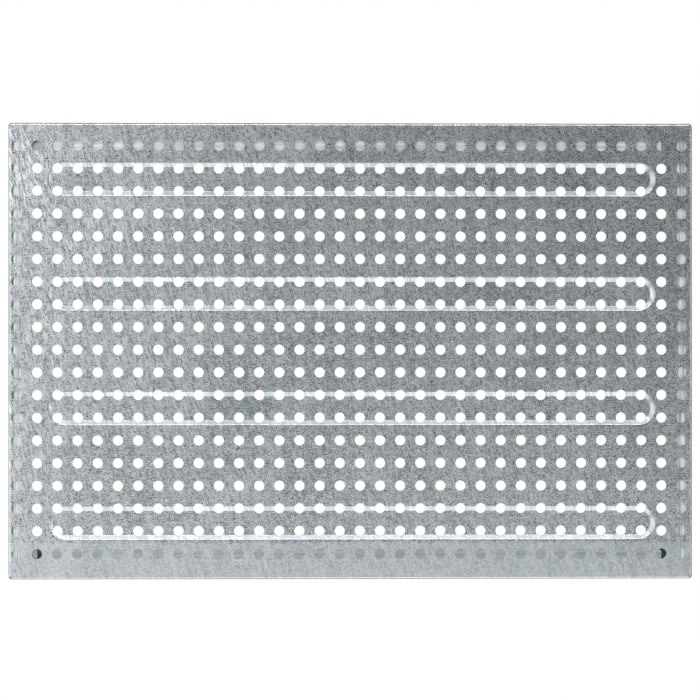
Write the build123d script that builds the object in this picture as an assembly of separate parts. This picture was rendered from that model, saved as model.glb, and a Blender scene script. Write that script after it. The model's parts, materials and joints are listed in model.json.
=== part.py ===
from build123d import *
import os
from math import atan2, degrees, floor, sqrt, tan

# A small scaffold deck unit: a perforated, swaged sheet-steel deck folded down on four sides,
# stitch-welded over a frame of C-section rails. X runs along it, Y across it, Z up.
# The origin is under the middle of the deck, on the plane that the rails' lower flanges rest on.

# Overall size, mm
length = 600.0
width = 400.0
height = 30.0

# Deck sheet
sheet = 1.5
bend_radius = 1.0             # inside radius of every fold in the sheet

# Perforations, punched in the flat sheet by a gang tool that starts a little off centre
hole_diameter = 9.0
column_pitch = 17.67
row_pitch = 19.88
end_margin = 7.0              # least distance from an end to the first column's centres
side_margin = 20.0            # least distance from a long side to the first row's centres
grid_shift_x = -1.05
grid_shift_y = 1.2

# Long recessed swages that stiffen the sheet
swage_pitch = 100.5
swage_width = 29.4
swage_depth = 3.0
swage_wall_run = 4.2          # how far a swage's wall leans in over its depth
swage_end_margin = 33.6
swage_shift_x = 1.2
swage_flange_gap = 3.0        # least distance from a swage to a side rail's flange

# Rails, C-sections with their webs against the skirts and their upper flanges under the deck
rail_sheet = 2.0
rail_bend_radius = 2.5        # inside radius of the rails' folds
side_flange = 28.5            # flange widths are measured from the web's outer face
end_flange = 15.5
rail_end_gap = 0.5            # between a side rail and the end rail beside it
left_cope = 30.5              # the side rails' upper flanges are cut back this far from the deck's ends
right_cope = 27.0
cope_snip = 6.0               # an upper flange's inner corner is snipped off at the cope

# Corner gussets, under an end rail's upper flange and against a side rail's web
gusset_sheet = 2.0
gusset_width = 24.0           # along Y, from the side rail's web
rear_cope_gap = 0.5           # along X, from a gusset to the coped upper flange
front_cope_gap = 5.5
gusset_gap = 0.5              # from a gusset to the end rail's fold
gusset_weld_leg = 1.6
gusset_weld_inset = 1.5       # a weld stops this far from a gusset's corner

# Stitch welds under the skirts' edges
stitch_length = 25.0
stitch_pitch = 95.0
stitch_end_margin = 40.0
stitch_leg = 1.4

# Worked out from the sizes above
fold_outer = bend_radius + sheet
rail_fold_outer = rail_bend_radius + rail_sheet
deck_underside = height - sheet
half_length = length / 2
half_width = width / 2
side_web_outer = half_width - sheet
side_web_inner = side_web_outer - rail_sheet
end_web_outer = half_length - sheet
end_web_inner = end_web_outer - rail_sheet
end_flange_edge = end_web_outer - end_flange
skirt_edge = rail_fold_outer  # the skirts stop where the rails' lower folds start
gusset_outer_edge = end_web_inner - rail_bend_radius - gusset_gap
swage_side_margin = half_width - side_web_outer + side_flange + swage_flange_gap + swage_width / 2
beyond = 5.0                  # how far a cutting tool reaches past what it cuts
half_turn = Rot(0, 0, 180)


def evenly_spaced(count, pitch, shift=0.0):
    """Places of a centred row of features, moved along by shift."""
    return [shift + (index - (count - 1) / 2) * pitch for index in range(count)]


def count_that_fits(overall, margin, pitch):
    """How many features fit between the margins."""
    return floor((overall - 2 * margin) / pitch) + 1


def upright_fold(run):
    """A skirt's fold and leg, hung from the origin's edge of the flat sheet, extruded run along X."""
    bend = Circle(fold_outer) - Circle(bend_radius)
    bend = bend & (Pos(fold_outer / 2, fold_outer / 2) * Rectangle(fold_outer, fold_outer))
    leg_height = height - fold_outer - skirt_edge
    leg = Pos(bend_radius + sheet / 2, -leg_height / 2) * Rectangle(sheet, leg_height)
    return extrude(Plane.YZ * (bend + leg), amount=run / 2, both=True)


def swage_prism(extra, top):
    """A stadium-shaped recess with leaning walls, its mouth in the plane at top."""
    mouth = SlotOverall(length - 2 * swage_end_margin + 2 * extra, swage_width + 2 * extra)
    lean = degrees(atan2(swage_wall_run, swage_depth))
    return extrude(Plane.XY.offset(top) * mouth, amount=-swage_depth, taper=lean)


def rounded_swage_edges(plate, level, radius):
    """Rounds each swage edge that lies in the plane at level."""
    edges = plate.edges().filter_by_position(Axis.Z, level - 0.001, level + 0.001)
    inside = length - 2 * swage_end_margin + 2 * swage_width
    edges = edges.filter_by(lambda edge: edge.bounding_box().size.X < inside)
    edges = edges.filter_by(lambda edge: abs(edge.center().X) < half_length - fold_outer - 1)
    edges = edges.filter_by(lambda edge: abs(edge.center().Y) < half_width - fold_outer - 1)
    return fillet(edges, radius)


def swaged_plate():
    """The flat top of the deck with its recessed swages pressed in."""
    plate = Box(length - 2 * fold_outer, width - 2 * fold_outer, sheet)
    plate = Pos(0, 0, height - sheet / 2) * plate
    slope = atan2(swage_depth, swage_wall_run)
    count = count_that_fits(width, swage_side_margin, swage_pitch)
    places = [Pos(swage_shift_x, y) for y in evenly_spaced(count, swage_pitch)]
    boss = swage_prism(sheet * tan(slope / 2), deck_underside)
    recess = swage_prism(0.0, height)
    for place in places:
        plate = plate + place * boss
    for place in places:
        plate = plate - place * recess
    plate = rounded_swage_edges(plate, height, fold_outer)
    plate = rounded_swage_edges(plate, height - swage_depth, bend_radius)
    plate = rounded_swage_edges(plate, deck_underside, bend_radius)
    return rounded_swage_edges(plate, deck_underside - swage_depth, fold_outer)


def perforations():
    """One cutting cylinder for each perforation."""
    columns = count_that_fits(length, end_margin, column_pitch)
    rows = count_that_fits(width, side_margin, row_pitch)
    depth = sheet + swage_depth + 2 * beyond
    punch = Pos(0, 0, height + beyond - depth / 2) * Cylinder(hole_diameter / 2, depth)
    return [
        Pos(x, y) * punch
        for x in evenly_spaced(columns, column_pitch, grid_shift_x)
        for y in evenly_spaced(rows, row_pitch, grid_shift_y)
    ]


def deck_sheet():
    """The perforated, swaged sheet with a skirt folded down on each side."""
    deck = swaged_plate()
    flat_length = length - 2 * fold_outer
    flat_width = width - 2 * fold_outer
    fold_level = height - fold_outer
    long_skirt = Pos(0, flat_width / 2, fold_level) * upright_fold(flat_length)
    end_skirt = Rot(0, 0, -90) * Pos(0, flat_length / 2, fold_level) * upright_fold(flat_width)
    deck = deck + long_skirt + half_turn * long_skirt + end_skirt + half_turn * end_skirt
    return deck - perforations()


def channel(web_outer, flange, run):
    """A C-section open towards the middle, its web's outer face at web_outer, run long along X."""
    points = [
        (web_outer - flange, deck_underside),
        (web_outer, deck_underside),
        (web_outer, 0),
        (web_outer - flange, 0),
    ]
    path = FilletPolyline(*points, radius=rail_fold_outer)
    section = make_face(offset(path, amount=rail_sheet, side=Side.RIGHT))
    return extrude(Plane.YZ * section, amount=run / 2, both=True)


def rear_side_rail():
    """The rail along the rear side, its flanges coped at both ends to let the end rails pass."""
    rail = channel(side_web_outer, side_flange, length - 2 * fold_outer)
    reach = side_flange + beyond
    cope_y = side_web_inner - reach / 2
    snip = Rot(0, 0, 45) * Box(sqrt(2) * cope_snip, sqrt(2) * cope_snip, height)
    for end, upper_cope in ((-1, left_cope), (1, right_cope)):
        run = upper_cope + beyond
        upper = Pos(half_length - upper_cope + run / 2, cope_y, height) * Box(run, reach, height)
        run = half_length - end_web_inner + rail_end_gap + beyond
        lower = Pos(half_length + beyond - run / 2, cope_y, 0) * Box(run, reach, height)
        corner = Pos(half_length - upper_cope, side_web_outer - side_flange, height) * snip
        facing = [upper, lower, corner]
        rail = rail - [cut if end > 0 else mirror(cut, about=Plane.YZ) for cut in facing]
    return rail


def right_end_rail():
    """The rail inside the right skirt, its lower flange stopped short of the side rails' flanges."""
    run = 2 * (side_web_inner - rail_end_gap)
    rail = Rot(0, 0, -90) * channel(end_web_outer, end_flange, run)
    reach = side_flange + rail_end_gap
    cope = Box(end_flange + beyond, reach, height)
    cope_x = end_web_inner - (end_flange + beyond) / 2
    return rail - [Pos(cope_x, side * (side_web_outer - reach / 2), 0) * cope for side in (-1, 1)]


def rear_right_gusset(run):
    """A flat plate, run long, lapped under the end rail's upper flange and butted on the side web."""
    plate = Box(run, gusset_width, gusset_sheet)
    y = side_web_inner - gusset_width / 2
    return Pos(gusset_outer_edge - run / 2, y, deck_underside - rail_sheet - gusset_sheet / 2) * plate


def fillet_bead(run):
    """A convex quarter-round weld bead, run long along X, in the corner of +Y and +Z."""
    leg = gusset_weld_leg
    bead = Circle(leg) & (Pos(leg, leg) * Rectangle(2 * leg, 2 * leg))
    return extrude(Plane.YZ * bead, amount=run / 2, both=True)


def rear_right_gusset_welds(run):
    """One bead under the gusset on the side rail's web and one along the end rail's flange edge."""
    top = deck_underside - rail_sheet
    web_bead = Rot(180, 0, 0) * fillet_bead(run - 2 * gusset_weld_inset)
    edge_bead = Rot(0, 0, 90) * fillet_bead(gusset_width - 2 * gusset_weld_inset)
    return [
        Pos(gusset_outer_edge - run / 2, side_web_inner, top - gusset_sheet) * web_bead,
        Pos(end_flange_edge, side_web_inner - gusset_width / 2, top) * edge_bead,
    ]


def rear_right_corner_weld():
    """The ground seam weld that closes the notch between two skirts, domed to follow both folds."""
    post_height = height - fold_outer - skirt_edge
    post = Pos(0, 0, skirt_edge + post_height / 2) * Cylinder(fold_outer, post_height)
    dome = Pos(0, 0, height - fold_outer) * Sphere(fold_outer)
    quarter = Pos(fold_outer, fold_outer, height / 2) * Box(2 * fold_outer, 2 * fold_outer, 2 * height)
    weld = (post + dome) & quarter
    return Pos(half_length - fold_outer, half_width - fold_outer) * weld


def stitch_row(overall, web_outer):
    """Short beads between a skirt's lower edge and the rail's fold, along X on the +Y side."""
    count = count_that_fits(overall, stitch_end_margin, stitch_pitch)
    bead = Cylinder(stitch_leg, stitch_length, rotation=(0, 90, 0))
    below = Pos(0, 0, -stitch_leg) * Box(stitch_length, 2 * stitch_leg, 2 * stitch_leg)
    bead = Pos(0, web_outer, skirt_edge) * (bead & below)
    fold = Cylinder(rail_fold_outer, stitch_length + beyond, rotation=(0, 90, 0))
    bead = bead - Pos(0, web_outer - rail_fold_outer, rail_fold_outer) * fold
    return [Pos(x) * bead for x in evenly_spaced(count, stitch_pitch)]


def write(name, solids):
    """Writes one node's STEP file from its list of solids."""
    node = solids[0] if len(solids) == 1 else Compound(children=solids)
    export_step(node, f"parts/{name}.step")


def write_pair(here, opposite, piece, solids):
    """Writes a node, and the same node turned half round to the opposite side."""
    write(f"{here}_{piece}", solids)
    write(f"{opposite}_{piece}", [half_turn * solid for solid in solids])


def write_corner(side, end, piece, solids):
    """Writes a rear right corner's node, mirrored to the corner that it belongs in."""
    if end == "left":
        solids = [mirror(solid, about=Plane.YZ) for solid in solids]
    if side == "front":
        solids = [mirror(solid, about=Plane.XZ) for solid in solids]
    write(f"{side}_{end}_{piece}", solids)


os.makedirs("parts", exist_ok=True)
write("deck_sheet", [deck_sheet()])

side_rail = rear_side_rail()
write("rear_side_rail", [side_rail])
write("front_side_rail", [mirror(side_rail, about=Plane.XZ)])
end_stitches = [Rot(0, 0, -90) * bead for bead in stitch_row(width, end_web_outer)]
write_pair("right", "left", "end_rail", [right_end_rail()])
write_pair("rear", "front", "stitch_welds", stitch_row(length, side_web_outer))
write_pair("right", "left", "stitch_welds", end_stitches)

for end, cope in (("left", left_cope), ("right", right_cope)):
    for side, gap in (("front", front_cope_gap), ("rear", rear_cope_gap)):
        gusset_run = gusset_outer_edge - (half_length - cope + gap)
        write_corner(side, end, "gusset", [rear_right_gusset(gusset_run)])
        write_corner(side, end, "gusset_welds", rear_right_gusset_welds(gusset_run))
        write_corner(side, end, "corner_weld", [rear_right_corner_weld()])
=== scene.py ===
"""Finishes, welds and stage of a galvanised, perforated scaffold deck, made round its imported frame."""
import json
import math

import bmesh
import bpy
from bpy.props import FloatProperty, FloatVectorProperty, PointerProperty
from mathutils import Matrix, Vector, noise


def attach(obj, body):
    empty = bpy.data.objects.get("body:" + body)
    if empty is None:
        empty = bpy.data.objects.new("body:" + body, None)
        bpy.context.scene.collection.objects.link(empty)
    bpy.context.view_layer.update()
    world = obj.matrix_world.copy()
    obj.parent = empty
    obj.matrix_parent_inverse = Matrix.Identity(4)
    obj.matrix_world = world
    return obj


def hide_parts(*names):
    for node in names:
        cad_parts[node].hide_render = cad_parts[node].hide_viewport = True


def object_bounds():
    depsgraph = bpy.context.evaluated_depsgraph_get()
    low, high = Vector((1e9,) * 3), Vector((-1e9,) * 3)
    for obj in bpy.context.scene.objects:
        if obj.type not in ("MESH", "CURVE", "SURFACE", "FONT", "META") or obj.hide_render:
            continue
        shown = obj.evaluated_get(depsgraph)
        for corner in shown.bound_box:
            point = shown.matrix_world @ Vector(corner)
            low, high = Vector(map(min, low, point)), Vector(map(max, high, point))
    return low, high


bl_info = {
    "name": "Perforated scaffold deck",
    "version": (1, 0, 0),
    "blender": (4, 5, 0),
    "location": "3D Viewport > Sidebar > Scaffold deck",
    "description": "Gives a galvanised deck, its rails and its welds their shapes and finishes",
    "category": "Object",
}

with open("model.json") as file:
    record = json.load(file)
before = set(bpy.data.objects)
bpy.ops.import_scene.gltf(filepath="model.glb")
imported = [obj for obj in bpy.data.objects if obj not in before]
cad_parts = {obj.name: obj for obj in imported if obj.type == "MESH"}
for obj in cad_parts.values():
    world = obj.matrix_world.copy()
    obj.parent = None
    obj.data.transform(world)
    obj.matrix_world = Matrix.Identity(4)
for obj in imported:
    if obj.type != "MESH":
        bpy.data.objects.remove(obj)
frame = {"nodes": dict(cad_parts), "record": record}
cad_bounds = [list(corner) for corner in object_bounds()]

MILLIMETRE = 0.001
CORNERS = [f"{side}_{end}" for side in ("front", "rear") for end in ("left", "right")]
SIDES = ("front", "rear")
ENDS = ("left", "right")
clip_holes = next(mount for mount in frame["record"]["mounts"] if mount["name"] == "clip_holes")
GRID_CENTRE = Vector(clip_holes["pos_m"])
HOLE_RADIUS = clip_holes["dims"]["hole_r_mm"] * MILLIMETRE
COLUMN_STEPS = 31             # column pitches between the clip holes, and row pitches
ROW_STEPS = 12
COLUMN_PITCH = clip_holes["dims"]["spacing_x_mm"] * MILLIMETRE / COLUMN_STEPS
ROW_PITCH = clip_holes["dims"]["spacing_y_mm"] * MILLIMETRE / ROW_STEPS


# ---------------------------------------------------------------- settings

class ZincFinish(bpy.types.PropertyGroup):
    """The galvanised sheet's look."""

    deck_colour: FloatVectorProperty(
        name="Deck zinc", description="Colour of the deck's zinc", subtype="COLOR",
        default=(0.50, 0.54, 0.56), min=0.0, max=1.0)
    rail_colour: FloatVectorProperty(
        name="Rail zinc", description="Colour of the rails' brighter zinc", subtype="COLOR",
        default=(0.88, 0.94, 0.96), min=0.0, max=1.0)
    gusset_colour: FloatVectorProperty(
        name="Gusset zinc", description="Colour of the corner plates' dull zinc", subtype="COLOR",
        default=(0.70, 0.75, 0.78), min=0.0, max=1.0)
    bead_colour: FloatVectorProperty(
        name="Weld steel", description="Colour of a raw weld bead", subtype="COLOR",
        default=(0.20, 0.19, 0.18), min=0.0, max=1.0)
    grain_size: FloatProperty(
        name="Grain", description="Size of the zinc's fine grain", unit="LENGTH",
        default=0.0010, min=0.0002, max=0.01)
    scratch_length: FloatProperty(
        name="Scratch length", description="Length of a usual handling scratch", unit="LENGTH",
        default=0.012, min=0.001, max=0.1)
    scratch_lean: FloatProperty(
        name="Scratch lean", description="How far the scratches lean from straight across the deck",
        subtype="ANGLE", default=math.radians(-17), min=math.radians(-90), max=math.radians(90))


class WeldSizes(bpy.types.PropertyGroup):
    """The welds' surface."""

    ripple: FloatProperty(
        name="Ripple", description="Length of one ripple along a bead", unit="LENGTH",
        default=0.0018, min=0.0005, max=0.01)
    ripple_depth: FloatProperty(
        name="Ripple depth", description="Depth of the dips between ripples", unit="LENGTH",
        default=0.00018, min=0.0, max=0.001)
    ground_roughness: FloatProperty(
        name="Ground roughness", description="Unevenness of the ground corner welds",
        unit="LENGTH", default=0.0004, min=0.0, max=0.001)


class StageSizes(bpy.types.PropertyGroup):
    """The floor, the lights and the camera."""

    camera_distance: FloatProperty(
        name="Camera distance", description="From the middle of the walking face to the camera",
        unit="LENGTH", default=2.5, min=0.5, max=10.0)
    camera_lean: FloatProperty(
        name="Camera lean", description="How far the camera stands left of straight above",
        subtype="ANGLE", default=math.radians(1.15), min=0.0, max=math.radians(20))
    view_width: FloatProperty(
        name="View width", description="Width of the view across the walking face",
        unit="LENGTH", default=0.6140, min=0.1, max=3.0)
    camera_offset: FloatVectorProperty(
        name="Camera offset", description="How far the camera stands from above the middle, X and Y",
        unit="LENGTH", size=2, default=(-0.0009, 0.00096))
    floor_size: FloatProperty(
        name="Floor size", description="Side of the square floor", unit="LENGTH",
        default=9.0, min=2.0, max=40.0)


# ---------------------------------------------------------------- node helpers

def add_node(tree, kind, inputs=None, **settings):
    """Adds a node. An input given a socket is linked to it; any other input is set."""
    made = tree.nodes.new(kind)
    for name, value in settings.items():
        setattr(made, name, value)
    for key, value in (inputs or {}).items():
        if isinstance(value, bpy.types.NodeSocket):
            tree.links.new(value, made.inputs[key])
        else:
            made.inputs[key].default_value = value
    return made


def calculate(tree, operation, *values, clamp=False):
    """A Math node's result."""
    return add_node(tree, "ShaderNodeMath", dict(enumerate(values)),
                    operation=operation, use_clamp=clamp).outputs[0]


def remap(tree, value, low, high, to_low=0.0, to_high=1.0, smooth=False):
    """The value taken from low..high to to_low..to_high and held there."""
    inputs = {"Value": value, "From Min": low, "From Max": high, "To Min": to_low, "To Max": to_high}
    kind = "SMOOTHSTEP" if smooth else "LINEAR"
    return add_node(tree, "ShaderNodeMapRange", inputs, interpolation_type=kind).outputs["Result"]


def blend(tree, factor, first, second, mode="MIX"):
    """A colour mix's result."""
    made = tree.nodes.new("ShaderNodeMix")
    made.data_type = "RGBA"
    made.blend_type = mode
    for key, value in ((0, factor), (6, first), (7, second)):
        if isinstance(value, bpy.types.NodeSocket):
            tree.links.new(value, made.inputs[key])
        else:
            made.inputs[key].default_value = value
    return made.outputs[2]


def texture(tree, vector, scale, detail=2.0, roughness=0.5, distortion=0.0):
    """A noise texture's value, about 0.5."""
    inputs = {"Vector": vector, "Scale": scale, "Detail": detail, "Roughness": roughness,
              "Distortion": distortion}
    return add_node(tree, "ShaderNodeTexNoise", inputs).outputs["Fac"]


def stretched(tree, vector, turn, scale):
    """Coordinates turned about Z, then scaled, so that a texture is drawn out along one direction."""
    turned = add_node(tree, "ShaderNodeVectorRotate", {"Vector": vector, "Angle": turn},
                      rotation_type="Z_AXIS").outputs[0]
    return add_node(tree, "ShaderNodeVectorMath", {0: turned, 1: scale}, operation="MULTIPLY").outputs[0]


def new_group(name, inputs, outputs):
    """An empty shader node group with named sockets. Returns the tree and its input's sockets."""
    tree = bpy.data.node_groups.new(name, "ShaderNodeTree")
    for label, kind, default in inputs:
        socket = tree.interface.new_socket(name=label, in_out="INPUT", socket_type=kind)
        if default is not None:
            socket.default_value = default
    for label, kind in outputs:
        tree.interface.new_socket(name=label, in_out="OUTPUT", socket_type=kind)
    return tree, tree.nodes.new("NodeGroupInput").outputs


def close_group(tree, results):
    """Links the group's results to its named outputs."""
    end = tree.nodes.new("NodeGroupOutput")
    for label, socket in results.items():
        tree.links.new(socket, end.inputs[label])
    return tree


def place_group(tree, group, **inputs):
    """Puts a group in a material; underscores in the names stand for spaces."""
    made = tree.nodes.new("ShaderNodeGroup")
    made.node_tree = group
    for label, value in inputs.items():
        socket = made.inputs[label.replace("_", " ").capitalize()]
        if isinstance(value, bpy.types.NodeSocket):
            tree.links.new(value, socket)
        else:
            socket.default_value = value
    return made.outputs


# ---------------------------------------------------------------- shared effects

def zinc_grain_group():
    """Fine speckle of the zinc's crystals over broad mottling."""
    tree, given = new_group(
        "Zinc grain",
        [("Vector", "NodeSocketVector", None), ("Size", "NodeSocketFloat", 0.0012),
         ("Mottle size", "NodeSocketFloat", 0.03), ("Contrast", "NodeSocketFloat", 0.5)],
        [("Tone", "NodeSocketFloat"), ("Mottle", "NodeSocketFloat"), ("Height", "NodeSocketFloat")])
    fine_scale = calculate(tree, "DIVIDE", 1.0, given["Size"])
    fine = texture(tree, given["Vector"], fine_scale, detail=1.0, roughness=0.7)
    middle_scale = calculate(tree, "MULTIPLY", fine_scale, 0.31)
    middle = texture(tree, given["Vector"], middle_scale, detail=2.0)
    mottle = texture(tree, given["Vector"], calculate(tree, "DIVIDE", 1.0, given["Mottle size"]),
                     detail=3.0, distortion=0.6)
    speckle = calculate(tree, "ADD", calculate(tree, "MULTIPLY", fine, 0.75),
                        calculate(tree, "MULTIPLY", middle, 0.25))
    centred = calculate(tree, "SUBTRACT", speckle, 0.5)
    tone = calculate(tree, "MULTIPLY_ADD", centred, given["Contrast"], 1.0)
    broad = calculate(tree, "MULTIPLY_ADD", calculate(tree, "SUBTRACT", mottle, 0.5), 0.35, 1.0)
    return close_group(tree, {"Tone": calculate(tree, "MULTIPLY", tone, broad),
                              "Mottle": mottle, "Height": speckle})


def scratch_group():
    """Fine straight scratches that all lean much the same way, in loose flurries."""
    tree, given = new_group(
        "Handling scratches",
        [("Vector", "NodeSocketVector", None), ("Length", "NodeSocketFloat", 0.012),
         ("Lean", "NodeSocketFloat", 0.24), ("Amount", "NodeSocketFloat", 0.5)],
        [("Mask", "NodeSocketFloat"), ("Streak", "NodeSocketFloat")])
    along = calculate(tree, "DIVIDE", 1.0, given["Length"])
    masks = []
    for turn, width, rarity, shift in ((0.0, 9.0, 0.57, 0.0), (0.16, 12.0, 0.58, 3.7),
                                       (-0.13, 8.0, 0.59, 8.1)):
        scale = add_node(tree, "ShaderNodeCombineXYZ",
                         {0: calculate(tree, "MULTIPLY", along, width), 1: along, 2: 1.0}).outputs[0]
        moved = add_node(tree, "ShaderNodeVectorMath", {0: given["Vector"], 1: (shift, shift, 0.0)},
                         operation="ADD").outputs[0]
        drawn = stretched(tree, moved, calculate(tree, "ADD", given["Lean"], turn), scale)
        lines = texture(tree, drawn, 1.0, detail=1.0, roughness=0.4)
        masks.append(remap(tree, lines, rarity, rarity + 0.07))
    flurry = remap(tree, texture(tree, given["Vector"], 14.0, detail=2.0), 0.36, 0.62)
    strongest = calculate(tree, "MAXIMUM", calculate(tree, "MAXIMUM", masks[0], masks[1]), masks[2])
    mask = calculate(tree, "MULTIPLY", calculate(tree, "MULTIPLY", strongest, flurry), given["Amount"])
    wide = add_node(tree, "ShaderNodeCombineXYZ",
                    {0: calculate(tree, "MULTIPLY", along, 3.0),
                     1: calculate(tree, "MULTIPLY", along, 0.3), 2: 1.0}).outputs[0]
    streaks = texture(tree, stretched(tree, given["Vector"], given["Lean"], wide), 1.0,
                      detail=3.0, roughness=0.6)
    return close_group(tree, {"Mask": mask, "Streak": streaks})


def rolled_lines_group():
    """Lines left by the rolls along a strip: thin across the strip and very long along it."""
    tree, given = new_group(
        "Rolled lines",
        [("Vector", "NodeSocketVector", None), ("Turn", "NodeSocketFloat", 0.0),
         ("Spacing", "NodeSocketFloat", 0.0012), ("Contrast", "NodeSocketFloat", 2.5)],
        [("Tone", "NodeSocketFloat"), ("Height", "NodeSocketFloat")])
    across = calculate(tree, "DIVIDE", 1.0, given["Spacing"])
    scale = add_node(tree, "ShaderNodeCombineXYZ",
                     {0: calculate(tree, "MULTIPLY", across, 0.02), 1: across,
                      2: across}).outputs[0]
    lines = texture(tree, stretched(tree, given["Vector"], given["Turn"], scale), 1.0,
                    detail=3.0, roughness=0.65)
    tone = calculate(tree, "MULTIPLY_ADD", calculate(tree, "SUBTRACT", lines, 0.5),
                     given["Contrast"], 1.0)
    return close_group(tree, {"Tone": tone, "Height": lines})


def hole_rim_group():
    """How near the surface is to a perforation's edge, from the pitch of the punched grid."""
    tree, given = new_group(
        "Punched rims",
        [("Vector", "NodeSocketVector", None), ("Width", "NodeSocketFloat", 0.0006)],
        [("Rim", "NodeSocketFloat"), ("Height", "NodeSocketFloat")])
    split = add_node(tree, "ShaderNodeSeparateXYZ", {0: given["Vector"]}).outputs
    squares = []
    for axis, pitch, steps in ((0, COLUMN_PITCH, COLUMN_STEPS + 2), (1, ROW_PITCH, ROW_STEPS + 6)):
        offset = (0.5 if steps % 2 else 0.0) * pitch - GRID_CENTRE[axis]
        place = calculate(tree, "DIVIDE", calculate(tree, "ADD", split[axis], offset), pitch)
        nearest = calculate(tree, "SUBTRACT", place, calculate(tree, "ROUND", place))
        distance = calculate(tree, "MULTIPLY", nearest, pitch)
        squares.append(calculate(tree, "MULTIPLY", distance, distance))
    radius = calculate(tree, "SQRT", calculate(tree, "ADD", *squares))
    outside = calculate(tree, "SUBTRACT", radius, HOLE_RADIUS)
    share = calculate(tree, "DIVIDE", outside, given["Width"])
    rim = remap(tree, share, 1.0, 0.0, smooth=True)
    return close_group(tree, {"Rim": rim, "Height": calculate(tree, "SUBTRACT", 1.0, rim)})


# ---------------------------------------------------------------- materials

def new_material(name, metallic, coat=0.0):
    """A material with an empty Principled shader. Returns it, its tree, shader and Object coordinates."""
    made = bpy.data.materials.new(name)
    made.use_nodes = True
    tree = made.node_tree
    tree.nodes.clear()
    shader = tree.nodes.new("ShaderNodeBsdfPrincipled")
    shader.inputs["Metallic"].default_value = metallic
    shader.inputs["Coat Weight"].default_value = coat
    add_node(tree, "ShaderNodeOutputMaterial", {"Surface": shader.outputs[0]})
    place = tree.nodes.new("ShaderNodeTexCoord").outputs["Object"]
    return made, tree, shader, place


def shade(tree, colour, tone):
    """A plain colour multiplied by a tone that varies over the surface."""
    grey = add_node(tree, "ShaderNodeCombineXYZ", {0: tone, 1: tone, 2: tone}).outputs[0]
    scaled = add_node(tree, "ShaderNodeVectorMath", {0: grey, 1: tuple(colour)}, operation="MULTIPLY")
    return scaled.outputs[0]


def connect(tree, socket, target):
    """Links a socket to one of the shader's inputs."""
    tree.links.new(socket, target)


def deck_zinc_material(finish, groups):
    """The deck's galvanised sheet: grain, mottling, leaning scratches, a painted highlight round each
    punched rim, and painted light on its front part.
    """
    made, tree, shader, place = new_material("deck_zinc_sheet", 1.0, coat=0.12)
    shader.inputs["Coat Roughness"].default_value = 0.25
    split = add_node(tree, "ShaderNodeSeparateXYZ", {0: place}).outputs
    facing = add_node(tree, "ShaderNodeSeparateXYZ",
                      {0: tree.nodes.new("ShaderNodeNewGeometry").outputs["Normal"]}).outputs[2]
    burnished = remap(tree, facing, 0.99, 0.94)
    # Painted reflection: the front strip past the last swage is lightened by up to 0.26 and its grain
    # smoothed, standing in for a bright light mirrored there.
    painted_reflection_strip = remap(tree, split[1], -0.1665, -0.1695, smooth=True)
    smoothed = calculate(tree, "MAXIMUM", burnished, calculate(tree, "MULTIPLY", painted_reflection_strip, 0.6))
    grain_contrast = remap(tree, smoothed, 0.0, 1.0, to_low=6.4, to_high=0.6)
    grain = place_group(tree, groups["grain"], vector=place, size=finish.grain_size,
                        mottle_size=0.03, contrast=grain_contrast)
    worn_end = remap(tree, split[0], 0.06, -0.26, to_low=0.5, to_high=1.0, smooth=True)
    marks = place_group(tree, groups["scratch"], vector=place, length=finish.scratch_length,
                        lean=finish.scratch_lean, amount=worn_end)
    rims = place_group(tree, groups["rims"], vector=place, width=0.5 * MILLIMETRE)

    streak = calculate(tree, "MULTIPLY", remap(tree, marks["Streak"], 0.42, 0.75), worn_end)
    streaked = calculate(tree, "MULTIPLY_ADD", streak, 0.55, 1.0)
    # Painted light: the zinc lightens by up to 0.12 from the middle toward the front edge, standing in
    # for brighter reflected light there.
    painted_light_toward_front = remap(tree, split[1], -0.05, -0.165, smooth=True)
    with_painted_front_light = calculate(tree, "MULTIPLY_ADD", painted_light_toward_front, 0.12, streaked)
    # Adds the painted reflection on the front strip to the tone.
    with_painted_reflection = calculate(tree, "MULTIPLY_ADD", painted_reflection_strip, 0.26, with_painted_front_light)
    tone = calculate(tree, "MULTIPLY", grain["Tone"], with_painted_reflection)
    tint_place = add_node(tree, "ShaderNodeVectorMath", {0: place, 1: (4.3, 1.9, 0.0)},
                          operation="ADD").outputs[0]
    tint = remap(tree, texture(tree, tint_place, 26.0, detail=2.0), 0.4, 0.6)
    colour = tuple(finish.deck_colour)
    greener = (colour[0] * 0.985, colour[1] * 1.01, colour[2] * 0.99)
    bluer = (colour[0] * 1.0, colour[1] * 0.99, colour[2] * 1.015)
    zinc = blend(tree, tint, (*greener, 1.0), (*bluer, 1.0))
    toned = add_node(tree, "ShaderNodeVectorMath",
                     {0: zinc, 1: add_node(tree, "ShaderNodeCombineXYZ",
                                           {0: tone, 1: tone, 2: tone}).outputs[0]},
                     operation="MULTIPLY").outputs[0]
    scratched = blend(tree, marks["Mask"], toned, (0.95, 0.97, 0.98, 1.0))
    # Painted highlight: a pale ring blended round every perforation's edge stands in for the rounded rims
    # catching light; the rims' bump is real shape.
    connect(tree, blend(tree, calculate(tree, "MULTIPLY", rims["Rim"], 0.35), scratched,
                        (0.85, 0.88, 0.9, 1.0)), shader.inputs["Base Color"])

    rough = remap(tree, grain["Mottle"], 0.3, 0.7, to_low=0.30, to_high=0.38)
    rougher = calculate(tree, "MULTIPLY_ADD", marks["Mask"], -0.12, rough)
    connect(tree, rougher, shader.inputs["Roughness"])
    height = calculate(tree, "MULTIPLY_ADD", rims["Height"], 0.7,
                       calculate(tree, "MULTIPLY", grain["Height"], 0.5))
    bump = add_node(tree, "ShaderNodeBump", {"Height": height, "Strength": 0.35,
                                             "Distance": 0.12 * MILLIMETRE})
    connect(tree, bump.outputs[0], shader.inputs["Normal"])
    return made


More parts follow.
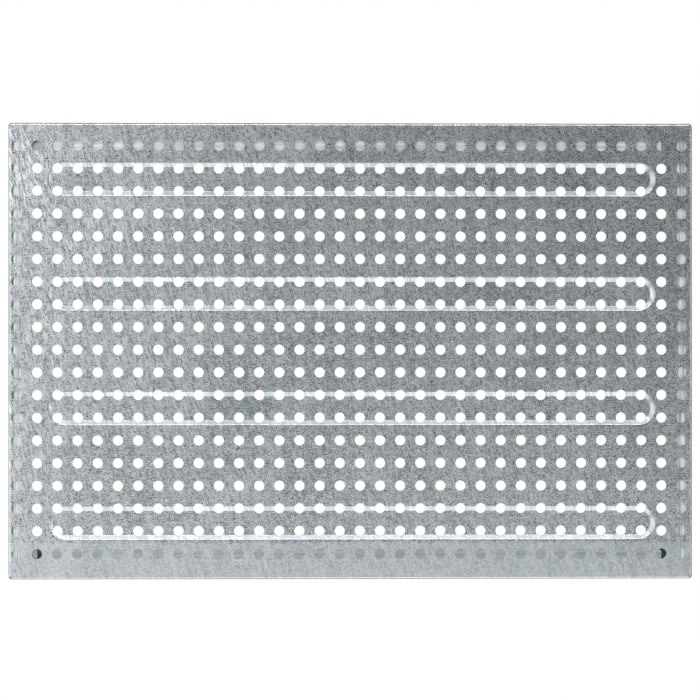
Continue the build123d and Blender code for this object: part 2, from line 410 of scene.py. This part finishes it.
def rail_zinc_material(name, finish, groups, turn, painted_shade_level, contrast, metallic):
    """A rail's brighter strip: rolled lines along it and light grain, its zinc darkened by a painted
    shade level.
    """
    made, tree, shader, place = new_material(name, metallic)
    grain = place_group(tree, groups["grain"], vector=place, size=finish.grain_size * 0.8,
                        mottle_size=0.018, contrast=0.5)
    lines = place_group(tree, groups["lines"], vector=place, turn=turn, spacing=1.4 * MILLIMETRE,
                        contrast=contrast)
    tone = calculate(tree, "MULTIPLY", grain["Tone"], lines["Tone"])
    # Painted shade: the rail's zinc colour is scaled by its shade level.
    colour = [channel * painted_shade_level for channel in finish.rail_colour]
    connect(tree, shade(tree, colour, tone), shader.inputs["Base Color"])
    connect(tree, remap(tree, lines["Height"], 0.3, 0.7, to_low=0.32, to_high=0.42),
            shader.inputs["Roughness"])
    height = calculate(tree, "ADD", lines["Height"], calculate(tree, "MULTIPLY", grain["Height"], 0.4))
    bump = add_node(tree, "ShaderNodeBump", {"Height": height, "Strength": 0.15,
                                             "Distance": 0.1 * MILLIMETRE})
    connect(tree, bump.outputs[0], shader.inputs["Normal"])
    return made


def gusset_zinc_material(finish, groups):
    """A corner plate's dull zinc, darkened in clouds by the heat of its welds."""
    made, tree, shader, place = new_material("gusset_zinc_plate", 1.0)
    grain = place_group(tree, groups["grain"], vector=place, size=finish.grain_size,
                        mottle_size=0.008, contrast=0.9)
    heat = remap(tree, grain["Mottle"], 0.45, 0.62)
    toned = shade(tree, finish.gusset_colour, grain["Tone"])
    connect(tree, blend(tree, calculate(tree, "MULTIPLY", heat, 0.35), toned, (0.16, 0.14, 0.12, 1.0)),
            shader.inputs["Base Color"])
    connect(tree, remap(tree, heat, 0.0, 1.0, to_low=0.42, to_high=0.62), shader.inputs["Roughness"])
    bump = add_node(tree, "ShaderNodeBump", {"Height": grain["Height"], "Strength": 0.4,
                                             "Distance": 0.1 * MILLIMETRE})
    connect(tree, bump.outputs[0], shader.inputs["Normal"])
    return made


def weld_material(name, colour, groups, roughness):
    """Raw or ground weld steel with soot and spatter tone."""
    made, tree, shader, place = new_material(name, 0.9)
    grain = place_group(tree, groups["grain"], vector=place, size=0.7 * MILLIMETRE,
                        mottle_size=0.004, contrast=1.2)
    connect(tree, shade(tree, colour, grain["Tone"]), shader.inputs["Base Color"])
    connect(tree, remap(tree, grain["Mottle"], 0.3, 0.7, to_low=roughness - 0.1,
                        to_high=roughness + 0.15), shader.inputs["Roughness"])
    bump = add_node(tree, "ShaderNodeBump", {"Height": grain["Height"], "Strength": 0.5,
                                             "Distance": 0.15 * MILLIMETRE})
    connect(tree, bump.outputs[0], shader.inputs["Normal"])
    return made


def finishes():
    """The shared effects and the materials, made once and found by name afterwards."""
    if "deck_zinc_sheet" in bpy.data.materials:
        return
    finish = bpy.context.scene.zinc_finish
    groups = {"grain": zinc_grain_group(), "scratch": scratch_group(), "lines": rolled_lines_group(),
              "rims": hole_rim_group()}
    deck_zinc_material(finish, groups)
    across = math.radians(90)
    # Lit and shaded copies of one rail zinc: the front rail's colour is darkened to 0.70 as painted
    # shade, and the rear and end rails are made less metallic so that they look lit brighter.
    rail_zinc_material("front_rail_zinc", finish, groups, 0.0, 0.70, 1.2, 1.0)
    rail_zinc_material("rear_rail_zinc", finish, groups, 0.0, 1.0, 1.8, 0.45)
    rail_zinc_material("end_rail_zinc", finish, groups, across, 1.0, 3.2, 0.45)
    gusset_zinc_material(finish, groups)
    weld_material("weld_bead_steel", finish.bead_colour, groups, 0.5)
    weld_material("ground_weld_steel", [2.0 * channel for channel in finish.bead_colour], groups, 0.4)


def dress(node_name, material_name):
    """Gives a node that stays its finish."""
    piece = frame["nodes"][node_name]
    piece.material_slots[0].material = bpy.data.materials[material_name]
    return piece


# ---------------------------------------------------------------- operators

class DECK_OT_sheet(bpy.types.Operator):
    """Finish the perforated, swaged deck sheet"""

    bl_idname = "scaffold_deck.sheet"
    bl_label = "Deck sheet"

    def execute(self, context):
        finishes()
        dress("deck_sheet", "deck_zinc_sheet")
        return {"FINISHED"}


class DECK_OT_rails(bpy.types.Operator):
    """Finish the side rails, the end rails and the corner gussets"""

    bl_idname = "scaffold_deck.rails"
    bl_label = "Rails and gussets"

    def execute(self, context):
        finishes()
        for side in SIDES:
            dress(f"{side}_side_rail", f"{side}_rail_zinc")
        for end in ENDS:
            dress(f"{end}_end_rail", "end_rail_zinc")
        for corner in CORNERS:
            dress(f"{corner}_gusset", "gusset_zinc_plate")
        return {"FINISHED"}


def ripple_cuts(shape, axis, step):
    """Cuts a bead across its run at every step, so that it can be rippled."""
    places = [vert.co[axis] for vert in shape.verts]
    normal = [1.0 if index == axis else 0.0 for index in range(3)]
    for index in range(1, int((max(places) - min(places)) / step)):
        origin = [channel * (min(places) + index * step) for channel in normal]
        geometry = shape.verts[:] + shape.edges[:] + shape.faces[:]
        bmesh.ops.bisect_plane(shape, geom=geometry, dist=1e-7, plane_co=origin, plane_no=normal)


def weld_piece(node_name, slot, material_name, axes, ripple, depth, roughness):
    """A weld in a node's place: its surface drawn in between ripples and made uneven."""
    name = f"{node_name}_laid"
    shape = bmesh.new()
    shape.from_mesh(frame["nodes"][node_name].data)
    bmesh.ops.remove_doubles(shape, verts=shape.verts, dist=1e-6)
    for axis in axes:
        ripple_cuts(shape, axis, ripple / 4)
    shape.normal_update()
    moves = {}
    for vert in shape.verts:
        wave = min(0.5 + 0.5 * math.cos(2 * math.pi * vert.co[axis] / ripple) for axis in axes)
        rough = 0.5 + 0.5 * noise.noise(vert.co * 900.0)
        moves[vert] = vert.normal * -(depth * (1.0 - wave) + roughness * rough)
    for vert, move in moves.items():
        vert.co += move
    bmesh.ops.recalc_face_normals(shape, faces=shape.faces)
    mesh = bpy.data.meshes.new(name)
    shape.to_mesh(mesh)
    shape.free()
    mesh.shade_smooth()
    mesh.materials.append(bpy.data.materials[material_name])
    piece = bpy.data.objects.new(name, mesh)
    bpy.context.scene.collection.objects.link(piece)
    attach(piece, "root")
    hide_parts(node_name)
    return piece


class DECK_OT_welds(bpy.types.Operator):
    """Lay the stitch welds, the gusset welds and the corner welds"""

    bl_idname = "scaffold_deck.welds"
    bl_label = "Welds"

    def execute(self, context):
        finishes()
        welds = context.scene.weld_sizes
        bead = (welds.ripple, welds.ripple_depth, welds.ripple_depth * 0.6)
        for run, axis in (("front", 0), ("rear", 0), ("left", 1), ("right", 1)):
            weld_piece(f"{run}_stitch_welds", "weld_bead", "weld_bead_steel", (axis,), *bead)
        for corner in CORNERS:
            weld_piece(f"{corner}_gusset_welds", "weld_bead", "weld_bead_steel", (0, 1), *bead)
            weld_piece(f"{corner}_corner_weld", "ground_weld", "ground_weld_steel", (2,),
                       welds.ripple, welds.ripple_depth * 0.5, welds.ground_roughness)
        return {"FINISHED"}


def stage_material():
    """A floor that looks plain white, lights the deck softly, and is clear from below."""
    made = bpy.data.materials.new("stage_floor_white")
    made.use_nodes = True
    tree = made.node_tree
    tree.nodes.clear()
    white = add_node(tree, "ShaderNodeEmission", {"Color": (1.0, 1.0, 1.0, 1.0), "Strength": 1.0})
    pale = add_node(tree, "ShaderNodeEmission", {"Color": (1.0, 1.0, 1.0, 1.0), "Strength": 0.25})
    seen = tree.nodes.new("ShaderNodeLightPath").outputs["Is Camera Ray"]
    mixed = add_node(tree, "ShaderNodeMixShader", {0: seen, 1: pale.outputs[0], 2: white.outputs[0]})
    below = tree.nodes.new("ShaderNodeNewGeometry").outputs["Backfacing"]
    clear = tree.nodes.new("ShaderNodeBsdfTransparent")
    shown = add_node(tree, "ShaderNodeMixShader", {0: below, 1: mixed.outputs[0], 2: clear.outputs[0]})
    add_node(tree, "ShaderNodeOutputMaterial", {"Surface": shown.outputs[0]})
    return made


def add_floor(size):
    """A plain floor that the deck lies on."""
    mesh = bpy.data.meshes.new("floor")
    shape = bmesh.new()
    bmesh.ops.create_grid(shape, x_segments=1, y_segments=1, size=size / 2)
    bmesh.ops.translate(shape, vec=(0.0, 0.0, -0.0002), verts=shape.verts)
    shape.to_mesh(mesh)
    shape.free()
    mesh.materials.append(stage_material())
    floor = bpy.data.objects.new("floor", mesh)
    bpy.context.scene.collection.objects.link(floor)


def add_softbox(name, place, aim, width, height, power, colour=(1.0, 1.0, 1.0)):
    """A rectangular soft light, turned to its aim."""
    lamp = bpy.data.lights.new(name, "AREA")
    lamp.shape = "RECTANGLE"
    lamp.size, lamp.size_y = width, height
    lamp.energy = power
    lamp.color = colour
    light = bpy.data.objects.new(name, lamp)
    light.location = place
    light.rotation_euler = (Vector(aim) - Vector(place)).to_track_quat("-Z", "Y").to_euler()
    bpy.context.scene.collection.objects.link(light)


def add_world(strength):
    """Even grey light from all round."""
    world = bpy.data.worlds.new("studio")
    world.use_nodes = True
    backdrop = world.node_tree.nodes["Background"]
    backdrop.inputs["Color"].default_value = (0.95, 0.98, 1.0, 1.0)
    backdrop.inputs["Strength"].default_value = strength
    bpy.context.scene.world = world


def add_camera(stage):
    """The camera, nearly straight above the walking face."""
    top = cad_bounds[1][2]
    lean = stage.camera_lean
    back = Vector((-math.sin(lean), 0.0, math.cos(lean)))
    camera = bpy.data.objects.new("camera", bpy.data.cameras.new("camera"))
    camera.location = Vector((*stage.camera_offset, top)) + back * stage.camera_distance
    camera.rotation_euler = (0.0, -lean, 0.0)
    camera.data.sensor_width = 36.0
    camera.data.lens = camera.data.sensor_width * stage.camera_distance / stage.view_width
    bpy.context.scene.collection.objects.link(camera)
    bpy.context.scene.camera = camera


class DECK_OT_stage(bpy.types.Operator):
    """Add the floor, the soft lights and the camera"""

    bl_idname = "scaffold_deck.stage"
    bl_label = "Floor, lights and camera"

    def execute(self, context):
        stage = context.scene.stage_sizes
        add_floor(stage.floor_size)
        add_world(0.13)
        add_softbox("left_wall", (-1.7, 0.0, 0.8), (0.0, 0.0, 0.0), 2.4, 1.3, 13.0)
        add_softbox("front_wall", (0.0, -1.7, 0.8), (0.0, 0.0, 0.0), 2.8, 1.3, 14.5)
        add_softbox("rear_wall", (0.0, 1.8, 0.5), (0.0, 0.0, 0.0), 2.8, 0.9, 4.8)
        add_softbox("rear_strip", (0.0, 1.55, 1.2), (0.0, 0.0, 0.0), 2.8, 0.25, 15.0)
        add_softbox("right_strip", (1.5, 0.0, 1.1), (0.0, 0.0, 0.0), 2.0, 0.15, 6.0)
        add_softbox("overhead_left", (-1.15, 0.35, 2.2), (-0.25, 0.05, 0.0), 1.2, 1.4, 5.2)
        add_softbox("overhead", (0.0, 0.0, 3.2), (0.0, 0.0, 0.0), 1.6, 1.2, 1.9)
        add_softbox("overhead_front", (0.15, -0.75, 2.6), (0.1, -0.2, 0.0), 2.6, 0.5, 3.6)
        add_camera(stage)
        context.scene.view_settings.view_transform = "Standard"
        return {"FINISHED"}


class DECK_PT_panel(bpy.types.Panel):
    """The deck's pieces and settings"""

    bl_idname = "DECK_PT_panel"
    bl_label = "Scaffold deck"
    bl_space_type = "VIEW_3D"
    bl_region_type = "UI"
    bl_category = "Scaffold deck"

    def draw(self, context):
        scene = context.scene
        for settings in (scene.zinc_finish, scene.weld_sizes, scene.stage_sizes):
            box = self.layout.box()
            for name in settings.bl_rna.properties.keys():
                if name not in ("rna_type", "name"):
                    box.prop(settings, name)
        for operator in OPERATORS:
            self.layout.operator(operator.bl_idname)


OPERATORS = (DECK_OT_sheet, DECK_OT_rails, DECK_OT_welds, DECK_OT_stage)
SETTINGS = (ZincFinish, WeldSizes, StageSizes)


def register():
    """Registers the settings, the operators and the panel."""
    for settings in SETTINGS:
        bpy.utils.register_class(settings)
    bpy.types.Scene.zinc_finish = PointerProperty(type=ZincFinish)
    bpy.types.Scene.weld_sizes = PointerProperty(type=WeldSizes)
    bpy.types.Scene.stage_sizes = PointerProperty(type=StageSizes)
    for operator in OPERATORS:
        bpy.utils.register_class(operator)
    bpy.utils.register_class(DECK_PT_panel)


def unregister():
    """Takes the panel, the operators and the settings away again."""
    bpy.utils.unregister_class(DECK_PT_panel)
    for operator in reversed(OPERATORS):
        bpy.utils.unregister_class(operator)
    del bpy.types.Scene.stage_sizes
    del bpy.types.Scene.weld_sizes
    del bpy.types.Scene.zinc_finish
    for settings in reversed(SETTINGS):
        bpy.utils.unregister_class(settings)


def main():
    """Makes every piece in order."""
    register()
    bpy.ops.scaffold_deck.stage()
    bpy.ops.scaffold_deck.sheet()
    bpy.ops.scaffold_deck.rails()
    bpy.ops.scaffold_deck.welds()


if __name__ == "__main__":
    main()
